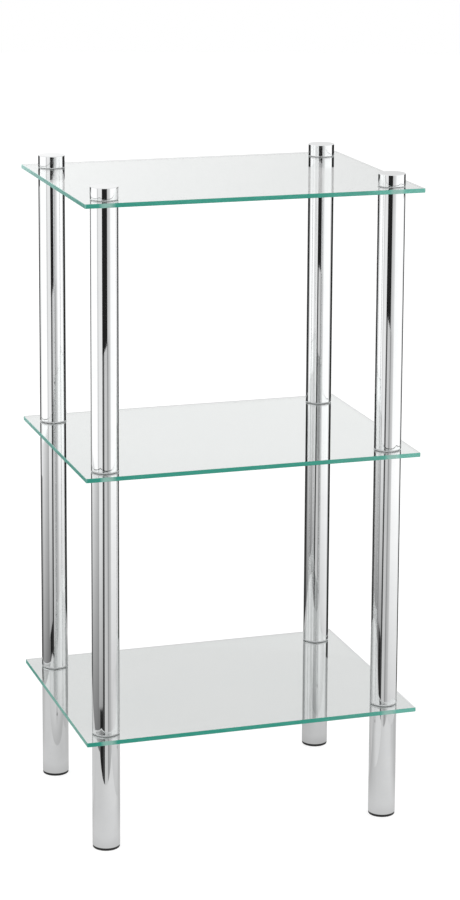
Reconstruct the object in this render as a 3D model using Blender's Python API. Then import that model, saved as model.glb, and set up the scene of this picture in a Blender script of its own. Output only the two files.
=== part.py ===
# Bathroom shelving unit: three glass shelves held between screwed columns of chromed tube.
# Metres, +Z up, origin on the floor under the middle of the shelves, front towards -Y.
#
# Each column is a stack, from the floor up: foot, leg, glass, post, glass, post, glass, cap.
# At each glass a stud comes down through a hole, from the piece above, into a threaded socket
# in the tube below. A flanged bush keeps the stud and the piece above off the glass.

import math

import bmesh
import bpy

# Glass shelves
GLASS_WIDTH = 0.400
GLASS_DEPTH = 0.300
GLASS_THICKNESS = 0.005
GLASS_ARRIS = 0.0004
# From the edges of the glass to the axis of a column
COLUMN_INSET_X = 0.030
COLUMN_INSET_Y = 0.030

# Chromed tubes
TUBE_DIAMETER = 0.032
TUBE_WALL = 0.0015
TUBE_END_RADIUS = 0.0005
LEG_LENGTH = 0.129
POST_LENGTH = 0.302

# Flanges of the sockets and bushes, set back from the tube's outside
FLANGE_THICKNESS = 0.0009
FLANGE_SETBACK = 0.0004

# Studs, M8, and what they go through
STUD_DIAMETER = 0.008
STUD_TIP_CHAMFER = 0.001
STUD_ENGAGEMENT = 0.010
STUD_CLEARANCE = 0.0003
BUSH_WALL = 0.002
SOCKET_RUNOUT = 0.006
PLUG_LENGTH = 0.014

# Screw caps
CAP_HEIGHT = 0.013
CAP_EDGE_RADIUS = 0.0008
CAP_FOOT_RADIUS = 0.0004
CAP_CROWN = 0.004

# Feet
FOOT_HEIGHT = 0.003
FOOT_EDGE_RADIUS = 0.0012
FOOT_SETBACK = 0.0003
FOOT_SPIGOT_LENGTH = 0.014
FOOT_SPIGOT_WALL = 0.002

# Gap between pieces that touch
SEAT_GAP = 0.0003

# Roundness
TUBE_SIDES = 24
INNER_SIDES = 16
ARC_STEPS = 2

TUBE_RADIUS = TUBE_DIAMETER / 2
BORE_RADIUS = TUBE_RADIUS - TUBE_WALL
PLUG_RADIUS = BORE_RADIUS - SEAT_GAP
FLANGE_RADIUS = TUBE_RADIUS - FLANGE_SETBACK
STUD_RADIUS = STUD_DIAMETER / 2
THREAD_RADIUS = STUD_RADIUS + STUD_CLEARANCE
NECK_RADIUS = THREAD_RADIUS + BUSH_WALL
HOLE_RADIUS = NECK_RADIUS + SEAT_GAP

# A flange with its seating gap on both sides
JOINT_HEIGHT = SEAT_GAP + FLANGE_THICKNESS + SEAT_GAP
# From a column's tube or cap down to the top of the socket that its stud screws into
STUD_REACH = JOINT_HEIGHT + GLASS_THICKNESS + SEAT_GAP

COLUMN_X = GLASS_WIDTH / 2 - COLUMN_INSET_X
COLUMN_Y = GLASS_DEPTH / 2 - COLUMN_INSET_Y
CORNERS = {
    "front_left": (-COLUMN_X, -COLUMN_Y),
    "front_right": (COLUMN_X, -COLUMN_Y),
    "back_left": (-COLUMN_X, COLUMN_Y),
    "back_right": (COLUMN_X, COLUMN_Y),
}
TUBES = {"leg_tube": LEG_LENGTH, "lower_post": POST_LENGTH, "upper_post": POST_LENGTH}
SOCKETS = ("leg_socket", "lower_socket", "upper_socket")
STUD_PLUGS = (None, "lower_stud_plug", "upper_stud_plug")
SHELVES = ("bottom", "middle", "top")


def clear_scene():
    for old in list(bpy.data.objects):
        bpy.data.objects.remove(old, do_unlink=True)


def make_material(name, colour, roughness, metallic=0.0, transmission=0.0):
    material = bpy.data.materials.new(name)
    material.use_nodes = True
    shader = material.node_tree.nodes["Principled BSDF"]
    shader.inputs["Base Color"].default_value = (*colour, 1.0)
    shader.inputs["Roughness"].default_value = roughness
    shader.inputs["Metallic"].default_value = metallic
    shader.inputs["Transmission Weight"].default_value = transmission
    material.diffuse_color = (*colour, 1.0)
    return material


def rounded_corner(radius, z, size, inwards):
    """Points of a rounded outer edge at (radius, z), from its end face to its side.

    inwards is +1 where the piece lies above the edge and -1 where it lies below it.
    """
    points = []
    for step in range(ARC_STEPS + 1):
        angle = math.pi / 2 * step / ARC_STEPS
        across = radius - size + size * math.sin(angle)
        along = z + inwards * size * (1 - math.cos(angle))
        points.append((across, along))
    return points


def turned_mesh(name, profile, sides, material):
    """A closed solid of revolution about Z. The profile is a ring of (radius, height) points."""
    shape = bmesh.new()
    verts = [shape.verts.new((radius, 0, height)) for radius, height in profile]
    edges = [shape.edges.new((verts[i - 1], verts[i])) for i in range(len(verts))]
    on_axis = [edge for edge in edges if all(vert.co.x == 0 for vert in edge.verts)]
    for edge in on_axis:
        shape.edges.remove(edge)
    bmesh.ops.spin(
        shape,
        geom=list(shape.verts) + list(shape.edges),
        axis=(0, 0, 1),
        cent=(0, 0, 0),
        angle=2 * math.pi,
        steps=sides,
        use_merge=True,
    )
    bmesh.ops.remove_doubles(shape, verts=shape.verts, dist=1e-6)
    bmesh.ops.recalc_face_normals(shape, faces=shape.faces)
    mesh = bpy.data.meshes.new(name)
    shape.to_mesh(mesh)
    shape.free()
    mesh.shade_smooth()
    mesh.set_sharp_from_angle(angle=math.radians(35))
    mesh.materials.append(material)
    return mesh


def tube_mesh(name, length, material):
    """A tube standing on z = 0, with both outer edges rounded."""
    outside = rounded_corner(TUBE_RADIUS, 0, TUBE_END_RADIUS, 1)
    outside += reversed(rounded_corner(TUBE_RADIUS, length, TUBE_END_RADIUS, -1))
    return turned_mesh(name, outside + [(BORE_RADIUS, length), (BORE_RADIUS, 0)], TUBE_SIDES, material)


def socket_mesh(material):
    """A threaded socket hanging in a tube from its flange, whose top is z = 0."""
    bottom = -(STUD_ENGAGEMENT + SOCKET_RUNOUT)
    profile = [
        (THREAD_RADIUS, 0),
        (FLANGE_RADIUS, 0),
        (FLANGE_RADIUS, -FLANGE_THICKNESS),
        (PLUG_RADIUS, -FLANGE_THICKNESS),
        (PLUG_RADIUS, bottom),
        (THREAD_RADIUS, bottom),
    ]
    return turned_mesh("socket", profile, INNER_SIDES, material)


def stud_points(below):
    """The stud's outline from z = 0 down to its chamfered tip on the axis."""
    return [
        (STUD_RADIUS, 0),
        (STUD_RADIUS, -below + STUD_TIP_CHAMFER),
        (STUD_RADIUS - STUD_TIP_CHAMFER, -below),
        (0, -below),
    ]


def stud_plug_mesh(material):
    """A plug in a post's lower end, whose face is z = 0, with its stud hanging below."""
    profile = [(0, PLUG_LENGTH), (PLUG_RADIUS, PLUG_LENGTH), (PLUG_RADIUS, 0)]
    profile += stud_points(STUD_REACH + STUD_ENGAGEMENT)
    return turned_mesh("stud_plug", profile, INNER_SIDES, material)


def bush_mesh(material):
    """A flanged bush: its flange stands on z = 0 and its neck hangs in the hole of the glass."""
    profile = [
        (THREAD_RADIUS, FLANGE_THICKNESS),
        (FLANGE_RADIUS, FLANGE_THICKNESS),
        (FLANGE_RADIUS, 0),
        (NECK_RADIUS, 0),
        (NECK_RADIUS, -GLASS_THICKNESS),
        (THREAD_RADIUS, -GLASS_THICKNESS),
    ]
    return turned_mesh("bush", profile, INNER_SIDES, material)


def cap_mesh(material):
    """A screw cap standing on z = 0, with a blind bore for its stud."""
    seat = CAP_HEIGHT - CAP_CROWN
    profile = [(0, seat), (THREAD_RADIUS, seat), (THREAD_RADIUS, 0)]
    profile += rounded_corner(TUBE_RADIUS, 0, CAP_FOOT_RADIUS, 1)
    profile += reversed(rounded_corner(TUBE_RADIUS, CAP_HEIGHT, CAP_EDGE_RADIUS, -1))
    return turned_mesh("cap", profile + [(0, CAP_HEIGHT)], TUBE_SIDES, material)


def cap_stud_mesh(material):
    """The stud of a cap whose underside is z = 0."""
    top = CAP_HEIGHT - CAP_CROWN - SEAT_GAP
    profile = [(0, top), (STUD_RADIUS, top)]
    profile += stud_points(STUD_REACH + STUD_ENGAGEMENT)[1:]
    return turned_mesh("cap_stud", profile, INNER_SIDES, material)


def foot_mesh(material):
    """A push-in foot on the floor, z = 0: a disc under the tube with a hollow spigot inside it."""
    radius = TUBE_RADIUS - FOOT_SETBACK
    spigot_top = FOOT_HEIGHT + SEAT_GAP + FOOT_SPIGOT_LENGTH
    hollow_radius = PLUG_RADIUS - FOOT_SPIGOT_WALL
    profile = [(0, 0)]
    profile += rounded_corner(radius, 0, FOOT_EDGE_RADIUS, 1)
    profile += [
        (radius, FOOT_HEIGHT),
        (PLUG_RADIUS, FOOT_HEIGHT),
        (PLUG_RADIUS, spigot_top),
        (hollow_radius, spigot_top),
        (hollow_radius, FOOT_HEIGHT),
        (0, FOOT_HEIGHT),
    ]
    return turned_mesh("foot", profile, TUBE_SIDES, material)


def glass_mesh(material):
    """A plate with its underside on z = 0 and a small flat ground on every edge."""
    shape = bmesh.new()
    bmesh.ops.create_cube(shape, size=1)
    for vert in shape.verts:
        vert.co.x *= GLASS_WIDTH
        vert.co.y *= GLASS_DEPTH
        vert.co.z = (vert.co.z + 0.5) * GLASS_THICKNESS
    bmesh.ops.bevel(
        shape,
        geom=list(shape.edges),
        offset=GLASS_ARRIS,
        offset_type="OFFSET",
        segments=1,
        affect="EDGES",
    )
    mesh = bpy.data.meshes.new("glass")
    shape.to_mesh(mesh)
    shape.free()
    mesh.materials.append(material)
    return mesh


def hole_cutter_mesh(material):
    """What is drilled out of a plate on z = 0: a hole with both rims ground like the edges."""
    wide = HOLE_RADIUS + GLASS_ARRIS
    past = GLASS_ARRIS
    profile = [
        (0, GLASS_THICKNESS + past),
        (wide + past, GLASS_THICKNESS + past),
        (HOLE_RADIUS, GLASS_THICKNESS - GLASS_ARRIS),
        (HOLE_RADIUS, GLASS_ARRIS),
        (wide + past, -past),
        (0, -past),
    ]
    return turned_mesh("hole_cutter", profile, TUBE_SIDES, material)


def add_object(name, mesh, parent, height):
    piece = bpy.data.objects.new(name, mesh)
    piece.parent = parent
    piece.location.z = height
    bpy.context.scene.collection.objects.link(piece)
    return piece


def add_empty(name, parent=None, place=(0, 0)):
    empty = bpy.data.objects.new(name, None)
    empty.parent = parent
    empty.location = (*place, 0)
    bpy.context.scene.collection.objects.link(empty)
    return empty


def level_heights():
    """The floor of each tube, the underside of each glass, and the underside of the caps."""
    tubes, glasses = [], []
    height = FOOT_HEIGHT + SEAT_GAP
    for length in TUBES.values():
        tubes.append(height)
        glasses.append(height + length + JOINT_HEIGHT)
        height = glasses[-1] + GLASS_THICKNESS + JOINT_HEIGHT
    return tubes, glasses, height


def build():
    clear_scene()
    chrome = make_material("chromed_steel", (0.80, 0.80, 0.81), 0.06, metallic=1.0)
    zinc = make_material("zinc_plated_steel", (0.62, 0.63, 0.65), 0.35, metallic=1.0)
    black = make_material("black_plastic", (0.016, 0.016, 0.017), 0.5)
    grey = make_material("grey_plastic", (0.55, 0.57, 0.58), 0.4)
    glass = make_material("float_glass", (0.86, 0.93, 0.91), 0.02, transmission=1.0)

    tubes, glasses, cap_height = level_heights()
    tube_meshes = [tube_mesh(kind, length, chrome) for kind, length in TUBES.items()]
    socket = socket_mesh(grey)
    stud_plug = stud_plug_mesh(zinc)
    bush = bush_mesh(grey)
    cap = cap_mesh(chrome)
    cap_stud = cap_stud_mesh(zinc)
    foot = foot_mesh(black)
    plate = glass_mesh(glass)
    hole_cutter = hole_cutter_mesh(glass)

    unit = add_empty("shelving_unit")
    columns = {}
    for corner, place in CORNERS.items():
        columns[corner] = add_empty("column_" + corner, unit, place)

    for shelf, underside in zip(SHELVES, glasses):
        pane = add_object("glass_shelf_" + shelf, plate, unit, underside)
        for corner, column in columns.items():
            cutter = add_object(f"hole_cutter_{shelf}_{corner}", hole_cutter, column, underside)
            cutter.hide_render = True
            cutter.display_type = "WIRE"
            hole = pane.modifiers.new("hole_" + corner, "BOOLEAN")
            hole.operation = "DIFFERENCE"
            hole.solver = "EXACT"
            hole.object = cutter

    for corner, column in columns.items():
        add_object("foot_" + corner, foot, column, 0)
        for level, kind in enumerate(TUBES):
            underside = glasses[level]
            add_object(f"{kind}_{corner}", tube_meshes[level], column, tubes[level])
            add_object(f"{SOCKETS[level]}_{corner}", socket, column, underside - SEAT_GAP)
            if STUD_PLUGS[level]:
                add_object(f"{STUD_PLUGS[level]}_{corner}", stud_plug, column, tubes[level])
            bush_height = underside + GLASS_THICKNESS + SEAT_GAP
            add_object(f"bush_{SHELVES[level]}_{corner}", bush, column, bush_height)
        add_object("cap_" + corner, cap, column, cap_height)
        add_object("cap_stud_" + corner, cap_stud, column, cap_height)


build()
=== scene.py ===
import math

import bmesh
import bpy
import numpy as np
from mathutils import Matrix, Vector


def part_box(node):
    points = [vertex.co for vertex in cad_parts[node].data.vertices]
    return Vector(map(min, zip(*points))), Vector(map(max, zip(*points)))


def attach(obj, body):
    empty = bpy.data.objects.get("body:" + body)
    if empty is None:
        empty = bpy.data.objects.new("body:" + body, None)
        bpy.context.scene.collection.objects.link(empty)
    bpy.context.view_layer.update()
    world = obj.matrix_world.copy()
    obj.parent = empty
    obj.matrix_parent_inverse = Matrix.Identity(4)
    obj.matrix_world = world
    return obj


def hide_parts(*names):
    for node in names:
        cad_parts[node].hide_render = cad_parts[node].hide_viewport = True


# Bathroom shelving unit: three float-glass shelves held between screwed columns of chromed tube.
# Metres, +Z up, front towards -Y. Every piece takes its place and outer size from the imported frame.

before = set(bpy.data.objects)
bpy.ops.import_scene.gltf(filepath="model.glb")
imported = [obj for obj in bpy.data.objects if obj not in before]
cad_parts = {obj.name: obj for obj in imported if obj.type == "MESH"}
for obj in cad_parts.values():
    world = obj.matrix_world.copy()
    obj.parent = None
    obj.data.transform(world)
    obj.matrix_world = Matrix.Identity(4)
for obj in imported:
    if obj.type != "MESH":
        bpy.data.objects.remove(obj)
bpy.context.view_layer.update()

corners = ("front_left", "front_right", "back_left", "back_right")
levels = ("bottom", "middle", "top")


# Helpers for meshes

def gridFaces(rows, columns, wrapRows, wrapColumns):
    # Quads of a grid of points numbered row by row; a wrapped side joins its last line to its first
    row = np.arange(rows if wrapRows else rows - 1)[:, None]
    column = np.arange(columns if wrapColumns else columns - 1)[None, :]
    nextRow = (row + 1) % rows
    nextColumn = (column + 1) % columns
    quads = np.stack([
        row * columns + column,
        nextRow * columns + column,
        nextRow * columns + nextColumn,
        row * columns + nextColumn,
    ], axis=-1)
    return quads.reshape(-1, 4)


def arcPoints(middleRadius, middleHeight, size, startDeg, endDeg, steps=8):
    # Circle of the given size about (middleRadius, middleHeight), as (radius, height) rows
    angle = np.radians(np.linspace(startDeg, endDeg, steps + 1))
    return np.stack([middleRadius + size * np.cos(angle), middleHeight + size * np.sin(angle)], axis=-1)


def turnedSurface(radius, height, centre, sides, ring):
    # Surface of revolution: x = cx + r cos a, y = cy + r sin a, z = h, with a in equal steps round the axis.
    # radius may also vary with a, as on a thread; ring joins the outline's end to its start
    angle = np.linspace(0, 2 * np.pi, sides, endpoint=False)[:, None]
    radius = np.broadcast_to(radius, (sides, len(height)))
    points = np.stack([
        centre[0] + radius * np.cos(angle),
        centre[1] + radius * np.sin(angle),
        np.broadcast_to(height, radius.shape),
    ], axis=-1)
    return points.reshape(-1, 3), gridFaces(sides, len(height), True, ring)


def makePiece(name, points, faces, materials, faceSlots=None, sharpDeg=38):
    # Puts a surface into a mesh object at the origin, welds its seams and poles, and turns its faces outwards
    mesh = bpy.data.meshes.new(name)
    mesh.from_pydata(points.tolist(), [], faces.tolist())
    for material in materials:
        mesh.materials.append(material)
    if faceSlots is not None:
        mesh.polygons.foreach_set("material_index", faceSlots.astype(np.int32))
    shape = bmesh.new()
    shape.from_mesh(mesh)
    bmesh.ops.remove_doubles(shape, verts=shape.verts, dist=1e-6)
    bmesh.ops.recalc_face_normals(shape, faces=shape.faces)
    shape.to_mesh(mesh)
    shape.free()
    mesh.shade_smooth()
    mesh.set_sharp_from_angle(angle=math.radians(sharpDeg))
    piece = bpy.data.objects.new(name, mesh)
    bpy.context.scene.collection.objects.link(piece)
    return piece


def turnedPiece(name, outline, centre, sides, ring, material):
    # Piece whose outline, as (radius, height) rows, is turned about an upright axis
    points, faces = turnedSurface(outline[:, 0], outline[:, 1], centre, sides, ring)
    return makePiece(name, points, faces, [material])


def dress(piece, body, node):
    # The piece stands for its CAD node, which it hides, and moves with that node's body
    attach(piece, body)
    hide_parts(node)


def turnedPlace(node):
    # Axis, outer radius, lowest and highest point of a turned CAD node
    low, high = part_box(node)
    centre = ((low.x + high.x) / 2, (low.y + high.y) / 2)
    return centre, (high.x - low.x) / 2, low.z, high.z


def threadWave(turns):
    # Flat-topped 60 degree thread: 0 at the crest and 1 at the root, repeating once a turn
    flat = 0.14
    slope = np.abs(2 * (turns % 1.0) - 1)
    return np.clip((1 - slope - flat) / (1 - 2 * flat), 0, 1)


# Helpers for materials

def linear(hexColour):
    # sRGB hex to linear light: c / 12.92 in the dark, ((c + 0.055) / 1.055) ** 2.4 above
    value = np.array([int(hexColour[i:i + 2], 16) for i in (1, 3, 5)]) / 255
    value = np.where(value <= 0.04045, value / 12.92, ((value + 0.055) / 1.055) ** 2.4)
    return (*value.tolist(), 1.0)


def addNode(tree, kind, settings=None, links=None):
    # One node: a setting goes to the input of that name or number, or else to the node's own property
    node = tree.nodes.new(kind)
    for name, value in (settings or {}).items():
        if isinstance(name, int) or name in node.inputs:
            node.inputs[name].default_value = value
        else:
            setattr(node, name, value)
    for name, socket in (links or {}).items():
        tree.links.new(socket, node.inputs[name])
    return node


def newMaterial(name):
    material = bpy.data.materials.new(name)
    material.use_nodes = True
    return material, material.node_tree, material.node_tree.nodes["Principled BSDF"]


def setRamp(node, stops):
    # Colour ramp stops as {position: grey level}
    ramp = node.color_ramp
    while len(ramp.elements) > 1:
        ramp.elements.remove(ramp.elements[-1])
    for number, (position, level) in enumerate(stops.items()):
        element = ramp.elements[0] if number == 0 else ramp.elements.new(position)
        element.position = position
        element.color = (level, level, level, 1)
    return node


# Materials

chromeLook = {
    "bright": "#f5f6f6",
    "worn": "#ebeced",
    "markSize": 0.024,      # hand marks and drying marks
    "polishSpacing": 0.0016,    # belt-polish rings; real ones are about 0.1 mm and too fine to show
    "polishStretch": 14,
    "roughnessRange": (0.022, 0.055),
    "polishDepth": 0.0000001,
}


def brightChrome(name, look):
    # Chrome plated on belt-polished steel: a cool, nearly perfect mirror that a film of handling softens
    material, tree, shader = newMaterial(name)
    place = addNode(tree, "ShaderNodeTexCoord").outputs["Object"]
    marks = addNode(tree, "ShaderNodeTexNoise", {
        "Scale": 1 / look["markSize"],
        "Detail": 5.0,
        "Roughness": 0.62,
    }, {"Vector": place})
    rings = addNode(tree, "ShaderNodeMapping", {"Scale": (1, 1, look["polishStretch"])}, {"Vector": place})
    polish = addNode(tree, "ShaderNodeTexNoise", {
        "Scale": 1 / look["polishSpacing"] / look["polishStretch"],
        "Detail": 2.0,
    }, {"Vector": rings.outputs["Vector"]})
    tint = addNode(tree, "ShaderNodeMix", {
        "data_type": "RGBA",
        6: linear(look["bright"]),
        7: linear(look["worn"]),
    }, {"Factor": marks.outputs["Fac"]})
    low, high = look["roughnessRange"]
    gloss = addNode(tree, "ShaderNodeMapRange", {
        "From Min": 0.35,
        "From Max": 0.7,
        "To Min": low,
        "To Max": high,
    }, {"Value": marks.outputs["Fac"]})
    bump = addNode(tree, "ShaderNodeBump", {
        "Strength": 1.0,
        "Distance": look["polishDepth"],
    }, {"Height": polish.outputs["Fac"]})
    shader.inputs["Metallic"].default_value = 1.0
    tree.links.new(tint.outputs[2], shader.inputs["Base Color"])
    tree.links.new(gloss.outputs["Result"], shader.inputs["Roughness"])
    tree.links.new(bump.outputs["Normal"], shader.inputs["Normal"])
    return material


glassLook = {
    "index": 1.52,              # refractive index of soda-lime glass
    "face": "#fcfefd",
    "faceCool": "#f7fbfa",
    "tintSize": 0.12,           # slow change of tint across a sheet
    "filmSize": 0.045,          # wiped film on the faces
    "filmRange": (0.0, 0.012),
    "edgeDeep": "#1e9681",
    "edgePale": "#3cab96",
    "edgeClear": 0.15,          # share of light that an edge still lets through
    "edgeRoughness": (0.12, 0.3),
    "grindSpacing": 0.0022,     # grinding streaks along an edge, drawn about ten times coarser than real
    "grindStretch": 0.12,
    "edgeSideReflection": "#c2f2ea",      # painted reflection: paler colour of the short sides
    "sideFrom": 0.1985,         # half width at which a short side begins
    "sideShares": (0.3, 1.0),   # how much of the paler colour shows at the front and at the back
    "sideLow": 0.25,            # and how much of that is left on the lowest shelf
    "rightFrom": 0.06,          # from here to the right the long edges take a little of it too
    "rightShare": 0.16,
    "edgeColumnReflection": "#a9cfc5",    # painted reflection of a column, on the edge in front of it and a little to its left
    "columnReflectionLeft": 0.0045,
    "columnReflectionSpan": (0.0316, 0.0302),     # distance from the column where that patch starts and is full
    "columnReflectionShare": 0.7,
    "insideCover": 0.06,        # seen from inside the sheet an edge is only a faint line
    "holeWall": "#b9d3cb",
    "holeClear": 0.6,
    "holeRoughness": 0.55,
    "gritSize": 0.0006,         # drill marks, a few times coarser than real
}


def floatGlass(look):
    # Float glass, fire-polished faces: clear, a trace of green, a hard reflection at low angles
    material, tree, shader = newMaterial("clear_float_glass")
    place = addNode(tree, "ShaderNodeTexCoord").outputs["Object"]
    drift = addNode(tree, "ShaderNodeTexNoise", {
        "Scale": 1 / look["tintSize"],
        "Detail": 1.0,
    }, {"Vector": place})
    tint = addNode(tree, "ShaderNodeMix", {
        "data_type": "RGBA",
        6: linear(look["face"]),
        7: linear(look["faceCool"]),
    }, {"Factor": drift.outputs["Fac"]})
    film = addNode(tree, "ShaderNodeTexNoise", {
        "Scale": 1 / look["filmSize"],
        "Detail": 4.0,
    }, {"Vector": place})
    low, high = look["filmRange"]
    gloss = addNode(tree, "ShaderNodeMapRange", {
        "From Min": 0.45,
        "From Max": 0.75,
        "To Min": low,
        "To Max": high,
    }, {"Value": film.outputs["Fac"]})
    shader.inputs["IOR"].default_value = look["index"]
    shader.inputs["Transmission Weight"].default_value = 1.0
    tree.links.new(tint.outputs[2], shader.inputs["Base Color"])
    tree.links.new(gloss.outputs["Result"], shader.inputs["Roughness"])
    return material


def columnAway(tree, place):
    # Offset in plan from the nearest column's axis: (x, y) - (sign x * column x, sign y * column y)
    column = np.abs(turnedPlace("cap_front_right")[0])
    side = addNode(tree, "ShaderNodeVectorMath", {"operation": "SIGN"}, {0: place})
    axis = addNode(tree, "ShaderNodeVectorMath", {
        "operation": "MULTIPLY", 1: (column[0], column[1], 0),
    }, {0: side.outputs["Vector"]})
    return addNode(tree, "ShaderNodeVectorMath", {"operation": "SUBTRACT"}, {
        0: place,
        1: axis.outputs["Vector"],
    }).outputs["Vector"]


def flatLength(tree, vector):
    # Length of a vector in plan: the root of x squared plus y squared
    flat = addNode(tree, "ShaderNodeVectorMath", {"operation": "MULTIPLY", 1: (1, 1, 0)}, {0: vector})
    return addNode(tree, "ShaderNodeVectorMath", {"operation": "LENGTH"}, {
        0: flat.outputs["Vector"],
    }).outputs["Value"]


def groundGlassEdge(look):
    # Ground and polished edge of float glass: light that came the long way through the sheet, so deep teal;
    # painted reflections make it paler on the short sides, towards the right and in front of each column, and
    # it is nearly clear from inside the sheet
    material, tree, shader = newMaterial("ground_glass_edge")
    place = addNode(tree, "ShaderNodeTexCoord").outputs["Object"]
    along = addNode(tree, "ShaderNodeMapping", {
        "Scale": (look["grindStretch"], look["grindStretch"], 1),
    }, {"Vector": place})
    streaks = addNode(tree, "ShaderNodeTexNoise", {
        "Scale": 1 / look["grindSpacing"],
        "Detail": 3.0,
    }, {"Vector": along.outputs["Vector"]})
    deep = addNode(tree, "ShaderNodeMix", {
        "data_type": "RGBA",
        6: linear(look["edgeDeep"]),
        7: linear(look["edgePale"]),
    }, {"Factor": streaks.outputs["Fac"]})
    parts = addNode(tree, "ShaderNodeSeparateXYZ", None, {0: place})
    sheetLow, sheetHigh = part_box("glass_shelf_top")
    # Painted reflection: the short sides take the paler colour, more at the back and less on the lowest
    # shelf, and the long edges take a little of it towards the right
    across = addNode(tree, "ShaderNodeMath", {"operation": "ABSOLUTE"}, {0: parts.outputs["X"]})
    onSide = addNode(tree, "ShaderNodeMath", {"operation": "GREATER_THAN", 1: look["sideFrom"]}, {
        0: across.outputs[0],
    })
    low, high = look["sideShares"]
    sideShare = addNode(tree, "ShaderNodeMapRange", {
        "From Min": sheetLow.y, "From Max": sheetHigh.y, "To Min": low, "To Max": high,
    }, {"Value": parts.outputs["Y"]})
    lowShare = addNode(tree, "ShaderNodeMapRange", {
        "From Min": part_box("glass_shelf_bottom")[1].z,
        "From Max": sheetLow.z,
        "To Min": look["sideLow"],
        "To Max": 1.0,
    }, {"Value": parts.outputs["Z"]})
    paleShare = addNode(tree, "ShaderNodeMath", {"operation": "MULTIPLY"}, {
        0: sideShare.outputs["Result"],
        1: lowShare.outputs["Result"],
    })
    sideways = addNode(tree, "ShaderNodeMath", {"operation": "MULTIPLY"}, {
        0: onSide.outputs[0],
        1: paleShare.outputs[0],
    })
    rightShare = addNode(tree, "ShaderNodeMapRange", {
        "From Min": look["rightFrom"], "From Max": sheetHigh.x, "To Min": 0.0, "To Max": look["rightShare"],
    }, {"Value": parts.outputs["X"]})
    share = addNode(tree, "ShaderNodeMath", {"operation": "MAXIMUM"}, {
        0: sideways.outputs[0],
        1: rightShare.outputs["Result"],
    })
    sheet = addNode(tree, "ShaderNodeMix", {"data_type": "RGBA", 7: linear(look["edgeSideReflection"])}, {
        "Factor": share.outputs[0],
        6: deep.outputs[2],
    })
    # Painted reflection of each column: a paler patch on the edge in front of it, a little to its left, not
    # on the short sides
    beside = addNode(tree, "ShaderNodeVectorMath", {"operation": "ADD", 1: (look["columnReflectionLeft"], 0, 0)}, {
        0: columnAway(tree, place),
    })
    start, full = look["columnReflectionSpan"]
    columnReflection = addNode(tree, "ShaderNodeMapRange", {
        "From Min": start, "From Max": full, "To Min": 0.0, "To Max": look["columnReflectionShare"],
    }, {"Value": flatLength(tree, beside.outputs["Vector"])})
    offSide = addNode(tree, "ShaderNodeMath", {"operation": "SUBTRACT", 0: 1.0}, {1: onSide.outputs[0]})
    patch = addNode(tree, "ShaderNodeMath", {"operation": "MULTIPLY"}, {
        0: columnReflection.outputs["Result"],
        1: offSide.outputs[0],
    })
    tint = addNode(tree, "ShaderNodeMix", {"data_type": "RGBA", 7: linear(look["edgeColumnReflection"])}, {
        "Factor": patch.outputs[0],
        6: sheet.outputs[2],
    })
    inside = addNode(tree, "ShaderNodeNewGeometry").outputs["Backfacing"]
    cover = addNode(tree, "ShaderNodeMapRange", {
        "To Min": 1.0,
        "To Max": look["insideCover"],
    }, {"Value": inside})
    low, high = look["edgeRoughness"]
    gloss = addNode(tree, "ShaderNodeMapRange", {
        "From Min": 0.3,
        "From Max": 0.7,
        "To Min": low,
        "To Max": high,
    }, {"Value": streaks.outputs["Fac"]})
    shader.inputs["IOR"].default_value = look["index"]
    shader.inputs["Transmission Weight"].default_value = look["edgeClear"]
    tree.links.new(cover.outputs["Result"], shader.inputs["Alpha"])
    tree.links.new(tint.outputs[2], shader.inputs["Base Color"])
    tree.links.new(gloss.outputs["Result"], shader.inputs["Roughness"])
    return material


def drilledGlass(look):
    # Diamond-drilled hole: a frosted, paler wall, spotted by the drill's grit
    material, tree, shader = newMaterial("drilled_glass_hole")
    place = addNode(tree, "ShaderNodeTexCoord").outputs["Object"]
    grit = addNode(tree, "ShaderNodeTexNoise", {
        "Scale": 1 / look["gritSize"],
        "Detail": 2.0,
    }, {"Vector": place})
    tint = addNode(tree, "ShaderNodeMix", {
        "data_type": "RGBA",
        6: linear(look["holeWall"]),
        7: linear(look["face"]),
    }, {"Factor": grit.outputs["Fac"]})
    shader.inputs["IOR"].default_value = look["index"]
    shader.inputs["Transmission Weight"].default_value = look["holeClear"]
    shader.inputs["Roughness"].default_value = look["holeRoughness"]
    tree.links.new(tint.outputs[2], shader.inputs["Base Color"])
    return material


zincLook = {
    "bright": "#c9ced3",
    "dull": "#a3a8a6",
    "mottleSize": 0.0035,
    "roughnessRange": (0.22, 0.42),
}


def zincPlate(look):
    # Zinc plated and passivated steel: grey-blue, mottled, half dull
    material, tree, shader = newMaterial("zinc_plated_steel_turned")
    place = addNode(tree, "ShaderNodeTexCoord").outputs["Object"]
    mottle = addNode(tree, "ShaderNodeTexNoise", {
        "Scale": 1 / look["mottleSize"],
        "Detail": 4.0,
    }, {"Vector": place})
    tint = addNode(tree, "ShaderNodeMix", {
        "data_type": "RGBA",
        6: linear(look["bright"]),
        7: linear(look["dull"]),
    }, {"Factor": mottle.outputs["Fac"]})
    low, high = look["roughnessRange"]
    gloss = addNode(tree, "ShaderNodeMapRange", {
        "To Min": low,
        "To Max": high,
    }, {"Value": mottle.outputs["Fac"]})
    shader.inputs["Metallic"].default_value = 1.0
    tree.links.new(tint.outputs[2], shader.inputs["Base Color"])
    tree.links.new(gloss.outputs["Result"], shader.inputs["Roughness"])
    return material


footLook = {
    "dark": "#141414",
    "light": "#232322",
    "grainSize": 0.0007,    # spark-eroded mould grain
    "grainDepth": 0.00003,
    "scuffSize": 0.0084,    # worn and less worn patches
    "roughnessRange": (0.38, 0.55),
}
bushLook = {
    "dark": "#d3d5d6",
    "light": "#e2e4e4",
    "grainSize": 0.0009,
    "grainDepth": 0.00001,
    "scuffSize": 0.0108,
    "roughnessRange": (0.3, 0.45),
}


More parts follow.
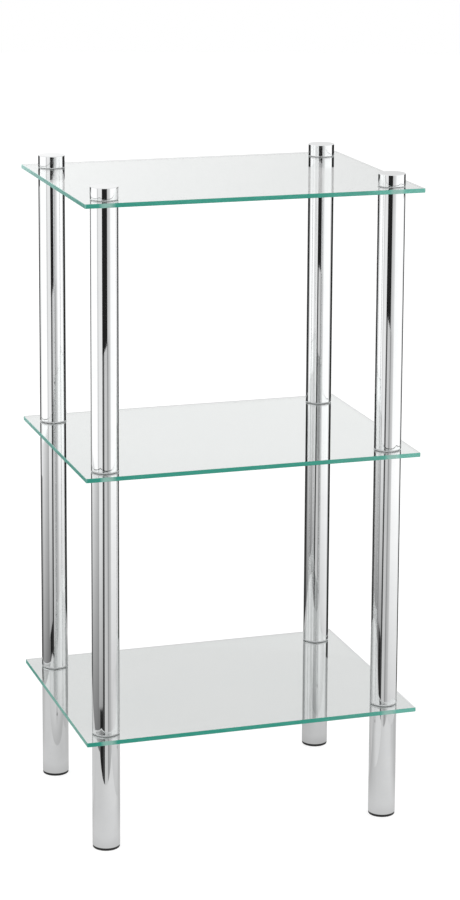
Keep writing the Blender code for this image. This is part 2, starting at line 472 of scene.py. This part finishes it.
def mouldedPlastic(name, look):
    # Injection-moulded plastic: dull sheen broken by the grain of the mould
    material, tree, shader = newMaterial(name)
    place = addNode(tree, "ShaderNodeTexCoord").outputs["Object"]
    grain = addNode(tree, "ShaderNodeTexNoise", {
        "Scale": 1 / look["grainSize"],
        "Detail": 3.0,
    }, {"Vector": place})
    scuff = addNode(tree, "ShaderNodeTexNoise", {
        "Scale": 1 / look["scuffSize"],
        "Detail": 4.0,
    }, {"Vector": place})
    tint = addNode(tree, "ShaderNodeMix", {
        "data_type": "RGBA",
        6: linear(look["dark"]),
        7: linear(look["light"]),
    }, {"Factor": scuff.outputs["Fac"]})
    low, high = look["roughnessRange"]
    gloss = addNode(tree, "ShaderNodeMapRange", {
        "To Min": low,
        "To Max": high,
    }, {"Value": scuff.outputs["Fac"]})
    bump = addNode(tree, "ShaderNodeBump", {
        "Strength": 1.0,
        "Distance": look["grainDepth"],
    }, {"Height": grain.outputs["Fac"]})
    tree.links.new(tint.outputs[2], shader.inputs["Base Color"])
    tree.links.new(gloss.outputs["Result"], shader.inputs["Roughness"])
    tree.links.new(bump.outputs["Normal"], shader.inputs["Normal"])
    return material


tubeChrome = brightChrome("chrome_plated_steel_tube", chromeLook)
capChrome = brightChrome("chrome_plated_turned_cap", chromeLook)
glassFace = floatGlass(glassLook)
glassEdge = groundGlassEdge(glassLook)
glassHole = drilledGlass(glassLook)
zincSteel = zincPlate(zincLook)
blackPlastic = mouldedPlastic("moulded_black_polythene", footLook)
bushPlastic = mouldedPlastic("moulded_grey_vinyl", bushLook)
socketPlastic = mouldedPlastic("moulded_grey_nylon", bushLook)
print("materials: done")


# Glass shelves

glassPane = {
    "arris": 0.0004,        # flat ground on every edge and hole rim
    "cornerDub": 0.0011,    # corners taken off so that they don't cut
    "holeRadius": 0.0066,
    "raysPerHole": 72,
    "sharpDeg": 20,         # so that the ground flats stay crisp
}


def outlineDistance(start, rays, halfPlanes):
    # From start along each ray to the nearest of the lines n . p = d that bound a quarter of the plate
    normals, reach = halfPlanes[:, :2], halfPlanes[:, 2]
    speed = rays @ normals.T
    room = reach - normals @ start
    with np.errstate(divide="ignore"):
        distance = np.where(speed > 1e-9, room / speed, np.inf)
    return distance.min(axis=1)


def paneQuarter(halfWide, halfDeep, hole, pane):
    # Rays from a hole's centre to the outline of its quarter of the plate, as (hole direction, outline point)
    dub = pane["cornerDub"]
    halfPlanes = np.array([
        (-1, 0, 0),
        (0, -1, 0),
        (1, 0, halfWide),
        (0, 1, halfDeep),
        (math.sqrt(0.5), math.sqrt(0.5), (halfWide + halfDeep - dub) * math.sqrt(0.5)),
    ])
    marks = np.array([
        (0, 0),
        (halfWide, 0),
        (halfWide, halfDeep - dub),
        (halfWide - dub, halfDeep),
        (0, halfDeep),
    ]) - hole
    angle = np.concatenate([
        np.arctan2(marks[:, 1], marks[:, 0]),
        np.linspace(-np.pi, np.pi, pane["raysPerHole"], endpoint=False),
    ])
    angle = np.unique(np.round(angle, 9))
    rays = np.stack([np.cos(angle), np.sin(angle)], axis=-1)
    outline = hole + rays * outlineDistance(hole, rays, halfPlanes)[:, None]
    outline = np.where(np.abs(outline) < 1e-7, 0, outline)
    return rays, outline


def paneSurface(node, pane):
    # Each quarter of the plate: ruled faces from the hole's rim to the outline, above and below; an edge band
    # down the outline and a wall down the hole, each with a small flat at 45 degrees. The quarter is mirrored
    low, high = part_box(node)
    halfWide, halfDeep = high.x, high.y
    hole = np.abs(turnedPlace("cap_front_right")[0])
    rays, outline = paneQuarter(halfWide, halfDeep, hole, pane)
    arris = pane["arris"]
    inset = np.minimum(outline, (halfWide - arris, halfDeep - arris))
    rim = hole + rays * (pane["holeRadius"] + arris)
    wall = hole + rays * pane["holeRadius"]
    # Closed outline of the section: hole rim, top face, edge band, underside, hole wall
    rings = np.stack([rim, inset, outline, outline, inset, rim, wall, wall])
    heights = np.array([
        high.z, high.z, high.z - arris, low.z + arris, low.z, low.z, low.z + arris, high.z - arris,
    ])
    slots = np.array([0, 1, 1, 1, 0, 2, 2, 2])      # face, edge or hole wall after each ring
    bands, count = len(heights), len(rays)
    points = np.concatenate([rings, np.broadcast_to(heights[:, None, None], (bands, count, 1))], axis=-1)
    faces = gridFaces(bands, count, True, True)
    faceSlots = np.repeat(slots, count)
    # The band has no faces where the outline is a line between two quarters
    seam = (outline < 1e-6) & (np.roll(outline, -1, axis=0) < 1e-6)
    onSeam = np.tile(seam.any(axis=1), bands)
    keep = ~(onSeam & (faceSlots == 1))
    faces, faceSlots = faces[keep], faceSlots[keep]
    sides = np.array([(1, 1, 1), (-1, 1, 1), (1, -1, 1), (-1, -1, 1)])
    allPoints = np.concatenate([points.reshape(-1, 3) * side for side in sides])
    flipped = faces[:, ::-1]
    allFaces = np.concatenate([
        (faces if side[0] * side[1] > 0 else flipped) + number * bands * count
        for number, side in enumerate(sides)
    ])
    return allPoints, allFaces, np.tile(faceSlots, len(sides))


for level in levels:
    node = "glass_shelf_" + level
    points, faces, faceSlots = paneSurface(node, glassPane)
    glass = [glassFace, glassEdge, glassHole]
    pane = makePiece("pane_" + level, points, faces, glass, faceSlots, glassPane["sharpDeg"])
    dress(pane, "frame", node)
print("glass shelves: done")


# Chromed tubes

tubeCut = {
    "wall": 0.0015,
    "endRound": 0.00025,
    "lead": 0.0004,         # short first ring beside a rounded edge, so that its shading stays there
    "settle": 0.00025,      # closes the seating gap to the flange
    "squeeze": 0.0002,      # and follows the flange that it presses flat
    "sides": 128,
}


def tubeOutline(radius, low, high, cut):
    # Ring outline of a tube's wall: outer side with both ends rounded over, then the bore
    turn = cut["endRound"]
    lead = turn + cut["lead"]
    return np.concatenate([
        arcPoints(radius - turn, low + turn, turn, -90, 0),
        [(radius, low + lead), (radius, high - lead)],
        arcPoints(radius - turn, high - turn, turn, 0, 90),
        [(radius - cut["wall"], high), (radius - cut["wall"], low)],
    ])


for kind in ("leg_tube", "lower_post", "upper_post"):
    for corner in corners:
        node = f"{kind}_{corner}"
        centre, radius, low, high = turnedPlace(node)
        settle = tubeCut["settle"]
        seat = settle if kind == "leg_tube" else settle + tubeCut["squeeze"]
        outline = tubeOutline(radius, low - seat, high + settle, tubeCut)
        tube = turnedPiece("chromed_" + node, outline, centre, tubeCut["sides"], True, tubeChrome)
        dress(tube, "frame", node)
print("tubes: done")


# Screw caps

capTurn = {
    "edgeRound": 0.0008,
    "footRound": 0.0001,
    "bore": 0.0043,
    "boreDepth": 0.009,
    "boreChamfer": 0.0006,
    "lead": 0.0004,
    "settle": 0.00025,
    "squeeze": 0.0007,      # screwed down, so that the flange is pressed flat
    "sides": 128,
}


def capOutline(radius, low, high, turn):
    # From the bore's end on the axis, out under the rim, up the side and over to the axis on top
    size, foot = turn["edgeRound"], turn["footRound"]
    lead, footLead = size + turn["lead"], foot + turn["lead"]
    bore, chamfer = turn["bore"], turn["boreChamfer"]
    return np.concatenate([
        [(0, low + turn["boreDepth"]), (bore, low + turn["boreDepth"])],
        [(bore, low + chamfer), (bore + chamfer, low), (radius - footLead, low)],
        arcPoints(radius - foot, low + foot, foot, -90, 0),
        [(radius, low + footLead), (radius, high - lead)],
        arcPoints(radius - size, high - size, size, 0, 90),
        [(radius - lead, high), (0, high)],
    ])


for corner in corners:
    node = "cap_" + corner
    centre, radius, low, high = turnedPlace(node)
    outline = capOutline(radius, low - capTurn["settle"] - capTurn["squeeze"], high, capTurn)
    cap = turnedPiece("chromed_" + node, outline, centre, capTurn["sides"], False, capChrome)
    dress(cap, "screw_cap_" + corner, node)
print("caps: done")


# Studs: M8 coarse

studCut = {
    "pitch": 0.00125,
    "depth": 0.00072,
    "radius": 0.004,
    "tip": 0.001,           # cone at the tip
    "rowsPerTurn": 8,
    "sides": 48,
    "plugLength": 0.014,
    "plugChamfer": 0.0007,
}


def threadRadius(height, tipHeight, cut):
    # r = radius - depth * wave(z / pitch - a / 2 pi), held inside a 45 degree cone at the tip
    angle = np.linspace(0, 1, cut["sides"], endpoint=False)[:, None]
    radius = cut["radius"] - cut["depth"] * threadWave(height[None, :] / cut["pitch"] - angle)
    return np.minimum(radius, cut["radius"] - cut["tip"] + (height - tipHeight)[None, :])


def threadRows(low, high, cut):
    # Heights of the rings of points along a thread
    turns = (high - low) / cut["pitch"]
    return np.linspace(low, high, int(math.ceil(turns * cut["rowsPerTurn"])) + 1)


def studSurface(centre, low, high, cut):
    # A threaded rod closed at both ends on its axis
    rows = threadRows(low, high, cut)
    radius = threadRadius(rows, low, cut)
    axis = np.zeros((cut["sides"], 1))
    radii = np.concatenate([axis, radius, axis], axis=1)
    height = np.concatenate([[low], rows, [high]])
    return turnedSurface(radii, height, centre, cut["sides"], False)


def studPlugSurface(centre, plugRadius, low, high, cut):
    # A plug with chamfered rims, and a threaded rod that hangs from it
    plugLow = high - cut["plugLength"]
    rows = threadRows(low, plugLow, cut)
    radius = threadRadius(rows, low, cut)
    axis = np.zeros((cut["sides"], 1))
    chamfer = cut["plugChamfer"]
    plug = np.array([
        (plugRadius - chamfer, plugLow),
        (plugRadius, plugLow + chamfer),
        (plugRadius, high - chamfer),
        (plugRadius - chamfer, high),
        (0, high),
    ])
    plugRadii = np.broadcast_to(plug[:, 0], (cut["sides"], len(plug)))
    radii = np.concatenate([axis, radius, plugRadii], axis=1)
    height = np.concatenate([[low], rows, plug[:, 1]])
    return turnedSurface(radii, height, centre, cut["sides"], False)


for corner in corners:
    node = "cap_stud_" + corner
    centre, _, low, high = turnedPlace(node)
    points, faces = studSurface(centre, low, high, studCut)
    stud = makePiece("threaded_" + node, points, faces, [zincSteel])
    dress(stud, "screw_cap_" + corner, node)
    for kind in ("lower_stud_plug", "upper_stud_plug"):
        node = f"{kind}_{corner}"
        centre, radius, low, high = turnedPlace(node)
        points, faces = studPlugSurface(centre, radius, low, high, studCut)
        plug = makePiece("threaded_" + node, points, faces, [zincSteel])
        dress(plug, "frame", node)
print("studs: done")


# Sockets in the tubes' upper ends

socketMould = {
    "flange": 0.0009,
    "flangeSpread": 0.0003,     # squeezed out under the load, nearly to the tube's outside
    "body": 0.0142,
    "thread": 0.0043,
    "chamfer": 0.0006,
    "edgeRound": 0.0002,
    "sides": 96,
}


def socketOutline(radius, low, high, mould):
    # Ring outline: threaded bore, flange with rounded rim, body with a lead-in at its lower end
    turn, chamfer = mould["edgeRound"], mould["chamfer"]
    radius = radius + mould["flangeSpread"]
    under = high - mould["flange"]
    return np.concatenate([
        [(mould["thread"], low), (mould["body"] - chamfer, low)],
        [(mould["body"], low + chamfer), (mould["body"], under)],
        arcPoints(radius - turn, under + turn, turn, -90, 0, 4),
        arcPoints(radius - turn, high - turn, turn, 0, 90, 4),
        [(mould["thread"] + chamfer, high), (mould["thread"], high - chamfer)],
    ])


for kind in ("leg_socket", "lower_socket", "upper_socket"):
    for corner in corners:
        node = f"{kind}_{corner}"
        centre, radius, low, high = turnedPlace(node)
        outline = socketOutline(radius, low, high, socketMould)
        socket = turnedPiece("moulded_" + node, outline, centre, socketMould["sides"], True, socketPlastic)
        dress(socket, "frame", node)
print("sockets: done")


# Bushes in the holes of the glass

bushMould = {
    "flange": 0.0009,
    "flangeSpread": 0.0003,
    "neck": 0.0063,
    "bore": 0.0043,
    "neckLength": 0.005,
    "chamfer": 0.0004,
    "edgeRound": 0.0001,
    "settle": 0.00025,      # the flange's underside comes down on the glass
    "sides": 96,
}


def bushOutline(radius, high, squeeze, mould):
    # Ring outline: bore, flange with rounded rim, neck with a lead-in at its lower end
    turn, chamfer = mould["edgeRound"], mould["chamfer"]
    radius = radius + mould["flangeSpread"]
    seat = high - mould["flange"]
    high = high - squeeze
    low = seat - mould["neckLength"]
    under = seat - mould["settle"]
    return np.concatenate([
        [(mould["bore"], low), (mould["neck"] - chamfer, low)],
        [(mould["neck"], low + chamfer), (mould["neck"], under)],
        arcPoints(radius - turn, under + turn, turn, -90, 0, 4),
        arcPoints(radius - turn, high - turn, turn, 0, 90, 4),
        [(mould["bore"] + chamfer, high), (mould["bore"], high - chamfer)],
    ])


for level in levels:
    for corner in corners:
        node = f"bush_{level}_{corner}"
        centre, radius, _, high = turnedPlace(node)
        squeeze = capTurn["squeeze"] if level == "top" else tubeCut["squeeze"]
        outline = bushOutline(radius, high, squeeze, bushMould)
        bush = turnedPiece("moulded_" + node, outline, centre, bushMould["sides"], True, bushPlastic)
        dress(bush, "cap_lift_" + corner if level == "top" else "frame", node)
print("bushes: done")


# Feet

footMould = {
    "discHeight": 0.003,
    "edgeRound": 0.0006,
    "rimRound": 0.0003,
    "spigot": 0.0142,
    "spigotWall": 0.002,
    "ribPitch": 0.0035,     # rings that grip the tube's bore
    "ribHeight": 0.0002,
    "ribRows": 33,
    "lead": 0.0003,
    "sides": 128,
}


def footOutline(radius, low, high, mould):
    # From the axis under the disc, round its edge, up the ribbed spigot and down its hollow to the axis
    turn, rim = mould["edgeRound"], mould["rimRound"]
    top = low + mould["discHeight"]
    rise = np.linspace(top, high, mould["ribRows"])
    wave = (1 + np.cos(2 * np.pi * (rise - top) / mould["ribPitch"])) / 2
    ribs = mould["spigot"] - mould["ribHeight"] * wave
    hollow = mould["spigot"] - mould["spigotWall"]
    return np.concatenate([
        [(0, low), (radius - turn - mould["lead"], low)],
        arcPoints(radius - turn, low + turn, turn, -90, 0),
        [(radius, top - rim - mould["lead"])],
        arcPoints(radius - rim, top - rim, rim, 0, 90, 4),
        np.stack([ribs, rise], axis=-1),
        [(hollow, high), (hollow, top), (0, top)],
    ])


for corner in corners:
    node = "foot_" + corner
    centre, radius, low, high = turnedPlace(node)
    outline = footOutline(radius, low, high, footMould)
    foot = turnedPiece("moulded_" + node, outline, centre, footMould["sides"], False, blackPlastic)
    dress(foot, "frame", node)
print("feet: done")


# Camera

view = {
    "azimuthDeg": -17.77,   # from the front, towards the left
    "elevationDeg": 10.63,
    "rollDeg": -0.31,
    "distance": 3.152,
    "target": (0.0148, 0.0, 0.6701),
    "focalPixels": 2685.0,
    "principalRow": 250.0,  # towards the photograph's optical centre, in its 460 x 900 frame
    "frameHeight": 900.0,
    "sensorWidth": 36.0,    # in millimetres
    "reach": 60.0,          # furthest distance that is drawn
}


def placeCamera(view):
    # Looks along fwd at the target; right and down turn by the roll about fwd
    azimuth, elevation, roll = np.radians([view["azimuthDeg"], view["elevationDeg"], view["rollDeg"]])
    fwd = np.array([
        -math.sin(azimuth) * math.cos(elevation),
        math.cos(azimuth) * math.cos(elevation),
        -math.sin(elevation),
    ])
    right = np.cross(fwd, (0, 0, 1))
    right /= np.linalg.norm(right)
    down = np.cross(fwd, right)
    across = math.cos(roll) * right + math.sin(roll) * down
    downwards = -math.sin(roll) * right + math.cos(roll) * down
    data = bpy.data.cameras.new("camera")
    data.sensor_width = view["sensorWidth"]
    data.lens = view["focalPixels"] / view["frameHeight"] * view["sensorWidth"]
    data.shift_y = (view["principalRow"] - view["frameHeight"] / 2) / view["frameHeight"]
    data.clip_end = view["reach"]
    camera = bpy.data.objects.new("camera", data)
    place = np.array(view["target"]) - fwd * view["distance"]
    turn = np.eye(4)
    turn[:3] = np.stack([across, -downwards, -fwd, place], axis=-1)
    camera.matrix_world = Matrix(turn.tolist())
    bpy.context.scene.collection.objects.link(camera)
    bpy.context.scene.camera = camera


placeCamera(view)
bpy.context.scene.view_settings.view_transform = "Standard"
print("camera: done")


# Studio: white floor and air, a pale table, and a ring of lit screens that only mirrors and glass see

studio = {
    "facing": -17.5,                # azimuth of the ring's opening, where the camera looks in
    "floorRadius": 8.0,
    "floorHeight": -0.0004,         # just under the feet
    "paperShade": 0.28,             # the paper as the camera sees it: a grey that takes shadows
    "paperGlow": 0.83,              # and a light of its own
    "paper": 0.84,                  # lit grey of the paper, as glass sees it
    "stripGreys": {0.2: 0.61, 0.5: 0.62, 1.6: 0.74, 4.5: 0.78},     # painted shade, by the distance behind the object
    "stripEdge": (0.34, 0.62),      # half width of that strip, where it starts to fade and where it ends
    "stripWiden": 0.1,
    "tableRadius": 0.53,            # the table top that the legs mirror, cut straight towards the camera
    "tableFront": 0.382,
    "tableLevels": (0.64, 0.74),    # painted sheen: its brightness to the left and right of a leg
    "tableSpan": 0.12,              # reached at this distance
    "tableRear": 0.84,              # painted shade: how much of it is left behind the leg
    "tableRearSpan": (-0.1, 0.0),
    "tableFoot": 0.84,              # in the shade at the leg's foot
    "tableFootSpan": (0.016, 0.055),
    "tableFar": 0.84,               # at the far right corner
    "tableFarWay": (0.82, 0.57, 0),
    "tableFarSpan": (0.1, 0.2),
    "tableUnder": 0.8,              # and where the shelves shade the table most
    "tableMiddle": (-0.03, 0.04, 0),
    "tableUnderSpan": (0.08, 0.24),
    "ringRadius": 1.3,
    "rearRadius": 0.8,
    "wallRadius": 3.0,
    "veilRadius": 1.2,
    "overlap": 0.004,               # each screen hangs this much further in than the one before
    "screenGrid": (7, 49),          # rows and columns of points
    "roomLevel": 0.018,
    "ceilingSpan": (0.5, 0.85),     # upward slope at which the room turns into the ceiling
    "skyLevel": 0.95,
    "skySpan": (0.0, 0.06),         # upward slope at which the sky begins and is full
}
# Screens: degrees from the opening to the left and right side, degrees that the foot leans to the right,
# lowest and highest point, brightness at the foot (left, right) and at the head (left, right)
screens = {
    "leftSoftbox": (-116, -53, 0, 0.12, 3.2, (1.15, 1.15), (1.2, 1.2)),
    "leftSkirt": (-116, -53, 0, -0.4, 0.14, (0.1, 0.07), (0.96, 0.54)),
    "leftSeam": (-55, -44, 0, 0.12, 3.2, (0.7, 0.72), (0.74, 0.78)),
    "leftSeamSkirt": (-55, -44, 0, -0.4, 0.14, (0.07, 0.08), (0.48, 0.54)),
    "leftWing": (-46, -20, 0, 0.08, 3.2, (0.9, 0.9), (0.98, 0.86)),
    "leftWingSkirt": (-46, -18, -6, -0.22, 0.1, (0.4, 0.36), (0.92, 0.84)),
    "rightSoftbox": (39, 112, 0, 0.12, 3.2, (1.1, 1.2), (1.15, 1.2)),
    "rightSkirt": (37, 112, 0, -0.4, 0.14, (0.54, 0.6), (1.12, 1.2)),
    "rightWing": (16, 41, 0, 0.32, 3.2, (0.56, 0.84), (0.58, 0.9)),
    "rightWingSkirt": (20, 41, -3, -0.4, 0.345, (0.38, 0.5), (0.52, 0.82)),
    "apron": (-8, 16, -5, -0.4, 0.345, (0.62, 0.6), (0.68, 0.6)),
    "apronFold": (14, 21, -3, -0.4, 0.345, (0.3, 0.32), (0.27, 0.33)),
    "standPost": (-20, -7, -5, -0.4, 0.345, (0.05, 0.05), (0.09, 0.12)),
    "canopy": (-180, 180, 0, 0.98, 3.2, (0.92, 0.92), (0.96, 0.96)),
    "backdrop": (159, 200, 0, -0.4, 0.9, (1.0, 1.0), (1.0, 1.0)),
    "backdropHead": (159, 200, 0, 0.88, 3.2, (0.73, 1.08), (0.75, 1.06)),
}
# Rear ends of the side screens, hung nearer: where they stop, the dark outline of each column begins
rears = {
    "leftRear": (-123, -109, 0, 0.2, 0.64, (0.6, 0.95), (0.7, 1.0)),
    "leftRearSkirt": (-123, -109, 0, -0.3, 0.22, (0.06, 0.1), (0.3, 0.45)),
    "rightRear": (107, 119, 0, -0.3, 0.64, (0.9, 0.5), (1.0, 0.7)),
}
# Dark walls of the room far behind the ring's two rear gaps: mirrors look down on them, glass looks over them
walls = {
    "rightWall": (96, 176, 0, -1.4, 0.33, (0.031, 0.031), (0.032, 0.032)),
    "leftWall": (-176, -98, 0, -1.4, 0.33, (0.041, 0.041), (0.042, 0.042)),
}
# Pale cloth below the canopy, inside the ring and above the caps, for what a shelf mirrors by itself
veil = (-161, 160, 0, 0.79, 1.0, (0.92, 0.92), (0.92, 0.92))


def stageMaterial(name):
    # A material of the stage, with no nodes yet
    material = bpy.data.materials.new(name)
    material.use_nodes = True
    material.node_tree.nodes.clear()
    return material, material.node_tree


def studioFloor(studio):
    # Flat disc: points at r cos a, r sin a
    radius = np.array([0.0, 0.3, 0.6, 1.2, 2.4, studio["floorRadius"]])
    height = np.full(len(radius), studio["floorHeight"])
    points, faces = turnedSurface(radius, height, (0, 0), 96, False)
    return makePiece("studio_floor", points, faces, [floorPaper(studio)])


def mirrorShare(tree):
    # 1 on a sight line that has met a mirror or the face of a glass, else 0
    path = addNode(tree, "ShaderNodeLightPath")
    return addNode(tree, "ShaderNodeMath", {"operation": "GREATER_THAN", 1: 0.5}, {
        0: path.outputs["Glossy Depth"],
    }).outputs[0]


def firstMirror(tree):
    # 1 on a sight line that has met just one mirror or glass face, else 0
    path = addNode(tree, "ShaderNodeLightPath")
    return addNode(tree, "ShaderNodeMath", {"operation": "COMPARE", 1: 1.0, 2: 0.5}, {
        0: path.outputs["Glossy Depth"],
    }).outputs[0]


def towards(tree, place, way):
    # How far a point lies along a direction: the sum of products of their coordinates
    return addNode(tree, "ShaderNodeVectorMath", {"operation": "DOT_PRODUCT", 1: way}, {
        0: place,
    }).outputs["Value"]


def tableTone(tree, place, rightWay, frontWay, studio):
    # Lit grey of the table: a painted sheen makes it paler to the right of each leg; times painted shade
    # behind the leg, at the leg's foot and under the shelves, and a darker share at the far corner
    away = columnAway(tree, place)
    middle = addNode(tree, "ShaderNodeVectorMath", {"operation": "SUBTRACT", 1: studio["tableMiddle"]}, {
        0: place,
    })
    # Painted sheen: the table is paler to the right of each leg
    low, high = studio["tableLevels"]
    level = addNode(tree, "ShaderNodeMapRange", {
        "From Min": -studio["tableSpan"], "From Max": studio["tableSpan"], "To Min": low, "To Max": high,
    }, {"Value": towards(tree, away, rightWay)})
    tone = level.outputs["Result"]
    # Painted shade behind each leg, at its foot and under the shelves, and a darker share at the far corner
    shares = (
        (towards(tree, away, frontWay), studio["tableRearSpan"], (studio["tableRear"], 1.0)),
        (flatLength(tree, away), studio["tableFootSpan"], (studio["tableFoot"], 1.0)),
        (towards(tree, place, studio["tableFarWay"]), studio["tableFarSpan"], (1.0, studio["tableFar"])),
        (flatLength(tree, middle.outputs["Vector"]), studio["tableUnderSpan"], (studio["tableUnder"], 1.0)),
    )
    for measure, span, ends in shares:
        share = addNode(tree, "ShaderNodeMapRange", {
            "From Min": span[0], "From Max": span[1], "To Min": ends[0], "To Max": ends[1],
        }, {"Value": measure})
        tone = addNode(tree, "ShaderNodeMath", {"operation": "MULTIPLY"}, {
            0: tone,
            1: share.outputs["Result"],
        }).outputs[0]
    return tone


def tableCover(tree, reach, front, studio):
    # 1 on the table: within its radius and behind its straight front edge
    disc = addNode(tree, "ShaderNodeMath", {"operation": "LESS_THAN", 1: studio["tableRadius"]}, {0: reach})
    behind = addNode(tree, "ShaderNodeMath", {"operation": "LESS_THAN", 1: studio["tableFront"]}, {0: front})
    return addNode(tree, "ShaderNodeMath", {"operation": "MULTIPLY"}, {
        0: disc.outputs[0],
        1: behind.outputs[0],
    }).outputs[0]


def paperTone(tree, place, rightWay, front, studio):
    # Lit grey of the paper: pale, and greyer in a strip of painted shade that runs back from the object and
    # widens on its way
    unit = studio["floorRadius"]
    # Painted shade: the paper's greys by the distance behind the object
    behind = addNode(tree, "ShaderNodeMath", {"operation": "DIVIDE", 1: -unit}, {0: front})
    greys = {distance / unit: grey for distance, grey in studio["stripGreys"].items()}
    strip = setRamp(addNode(tree, "ShaderNodeValToRGB", None, {"Fac": behind.outputs[0]}), {
        0.0: studio["paper"],
        **greys,
        1.0: studio["paper"],
    })
    aside = addNode(tree, "ShaderNodeMath", {"operation": "ABSOLUTE"}, {0: towards(tree, place, rightWay)})
    outward = addNode(tree, "ShaderNodeMath", {"operation": "MULTIPLY_ADD", 1: studio["stripWiden"]}, {
        0: front,
        2: aside.outputs[0],
    })
    start, end = studio["stripEdge"]
    fade = addNode(tree, "ShaderNodeMapRange", {"From Min": start, "From Max": end}, {
        "Value": outward.outputs[0],
    })
    return addNode(tree, "ShaderNodeMix", {3: studio["paper"]}, {
        "Factor": fade.outputs["Result"],
        2: strip.outputs["Color"],
    }).outputs[0]


def floorPaper(studio):
    # Matt white paper. The camera sees it white with soft shadows, glass sees its lit grey, and mirrors see
    # the table only
    material, tree = stageMaterial("white_studio_paper")
    place = addNode(tree, "ShaderNodeTexCoord").outputs["Object"]
    facing = math.radians(studio["facing"])
    rightWay = (math.cos(facing), math.sin(facing), 0)
    frontWay = (math.sin(facing), -math.cos(facing), 0)
    front = towards(tree, place, frontWay)
    table = addNode(tree, "ShaderNodeEmission", None, {
        "Strength": tableTone(tree, place, rightWay, frontWay, studio),
    })
    clear = addNode(tree, "ShaderNodeBsdfTransparent")
    mirrored = addNode(tree, "ShaderNodeMixShader", None, {
        0: tableCover(tree, flatLength(tree, place), front, studio),
        1: clear.outputs[0],
        2: table.outputs[0],
    })
    plain = addNode(tree, "ShaderNodeEmission", None, {
        "Strength": paperTone(tree, place, rightWay, front, studio),
    })
    other = addNode(tree, "ShaderNodeMixShader", None, {
        0: mirrorShare(tree),
        1: plain.outputs[0],
        2: mirrored.outputs[0],
    })
    grey = studio["paperShade"]
    shade = addNode(tree, "ShaderNodeBsdfDiffuse", {"Color": (grey, grey, grey, 1)})
    white = addNode(tree, "ShaderNodeEmission", {"Strength": studio["paperGlow"]})
    seen = addNode(tree, "ShaderNodeAddShader", None, {0: shade.outputs[0], 1: white.outputs[0]})
    path = addNode(tree, "ShaderNodeLightPath")
    either = addNode(tree, "ShaderNodeMixShader", None, {
        0: path.outputs["Is Camera Ray"],
        1: other.outputs[0],
        2: seen.outputs[0],
    })
    addNode(tree, "ShaderNodeOutputMaterial", None, {"Surface": either.outputs[0]})
    return material


def screenCloth(name, foot, head, share):
    # Lit diffusion cloth, brightness running evenly between its corners, clear to sight lines with no share
    material, tree = stageMaterial(name)
    cloth = addNode(tree, "ShaderNodeUVMap", {"uv_map": "cloth"})
    parts = addNode(tree, "ShaderNodeSeparateXYZ", None, {0: cloth.outputs["UV"]})
    footLevel, headLevel = (
        addNode(tree, "ShaderNodeMapRange", {"To Min": left, "To Max": right}, {"Value": parts.outputs["X"]})
        for left, right in (foot, head)
    )
    level = addNode(tree, "ShaderNodeMix", None, {
        "Factor": parts.outputs["Y"],
        2: footLevel.outputs["Result"],
        3: headLevel.outputs["Result"],
    })
    clear = addNode(tree, "ShaderNodeBsdfTransparent")
    glow = addNode(tree, "ShaderNodeEmission", None, {"Strength": level.outputs[0]})
    either = addNode(tree, "ShaderNodeMixShader", None, {
        0: share(tree),
        1: clear.outputs[0],
        2: glow.outputs[0],
    })
    addNode(tree, "ShaderNodeOutputMaterial", None, {"Surface": either.outputs[0]})
    return material


def studioScreen(name, radius, screen, studio, share=mirrorShare):
    # Upright strip of a ring: x = R sin(a), y = -R cos(a), where a leans evenly from head to foot
    startDeg, endDeg, leanDeg, low, high, foot, head = screen
    rows, columns = studio["screenGrid"]
    rise, across = (
        grid.ravel()
        for grid in np.meshgrid(np.linspace(0, 1, rows), np.linspace(0, 1, columns), indexing="ij")
    )
    angle = np.radians(studio["facing"] + startDeg + across * (endDeg - startDeg) + (1 - rise) * leanDeg)
    points = np.stack([
        radius * np.sin(angle),
        -radius * np.cos(angle),
        low + rise * (high - low),
    ], axis=-1)
    mesh = bpy.data.meshes.new("studio_" + name)
    mesh.from_pydata(points.tolist(), [], gridFaces(rows, columns, False, False).tolist())
    mesh.materials.append(screenCloth("lit_cloth_" + name, foot, head, share))
    corner = np.zeros(len(mesh.loops), np.int32)
    mesh.loops.foreach_get("vertex_index", corner)
    coords = np.stack([across, rise], axis=-1)[corner]
    mesh.uv_layers.new(name="cloth").data.foreach_set("uv", coords.ravel().astype(np.float32))
    strip = bpy.data.objects.new("studio_" + name, mesh)
    bpy.context.scene.collection.objects.link(strip)
    strip.visible_camera = False
    strip.visible_diffuse = False
    strip.visible_shadow = False


studioFloor(studio)
for number, (name, screen) in enumerate(screens.items()):
    studioScreen(name, studio["ringRadius"] - number * studio["overlap"], screen, studio)
for number, (name, screen) in enumerate(rears.items()):
    studioScreen(name, studio["rearRadius"] - number * studio["overlap"], screen, studio)
for name, screen in walls.items():
    studioScreen(name, studio["wallRadius"], screen, studio)
studioScreen("veil", studio["veilRadius"], veil, studio, firstMirror)


def studioAir(studio):
    # White light all round. Beyond the screens a mirror sees a dark room with a white ceiling, and the first
    # mirror on a sight line sees it pale all the way down to eye level
    world = bpy.data.worlds.new("studio_air")
    world.use_nodes = True
    tree = world.node_tree
    tree.nodes.clear()
    way = addNode(tree, "ShaderNodeTexCoord").outputs["Generated"]
    parts = addNode(tree, "ShaderNodeSeparateXYZ", None, {0: way})
    ceiling, sky = (
        addNode(tree, "ShaderNodeMapRange", {
            "From Min": span[0], "From Max": span[1], "To Min": studio["roomLevel"], "To Max": full,
        }, {"Value": parts.outputs["Z"]})
        for span, full in ((studio["ceilingSpan"], 1.0), (studio["skySpan"], studio["skyLevel"]))
    )
    beyond = addNode(tree, "ShaderNodeMix", None, {
        "Factor": firstMirror(tree),
        2: ceiling.outputs["Result"],
        3: sky.outputs["Result"],
    })
    level = addNode(tree, "ShaderNodeMix", {2: 1.0}, {
        "Factor": mirrorShare(tree),
        3: beyond.outputs[0],
    })
    light = addNode(tree, "ShaderNodeBackground", {"Color": (1, 1, 1, 1)}, {"Strength": level.outputs[0]})
    addNode(tree, "ShaderNodeOutputWorld", None, {"Surface": light.outputs[0]})
    bpy.context.scene.world = world


studioAir(studio)
print("studio: done")
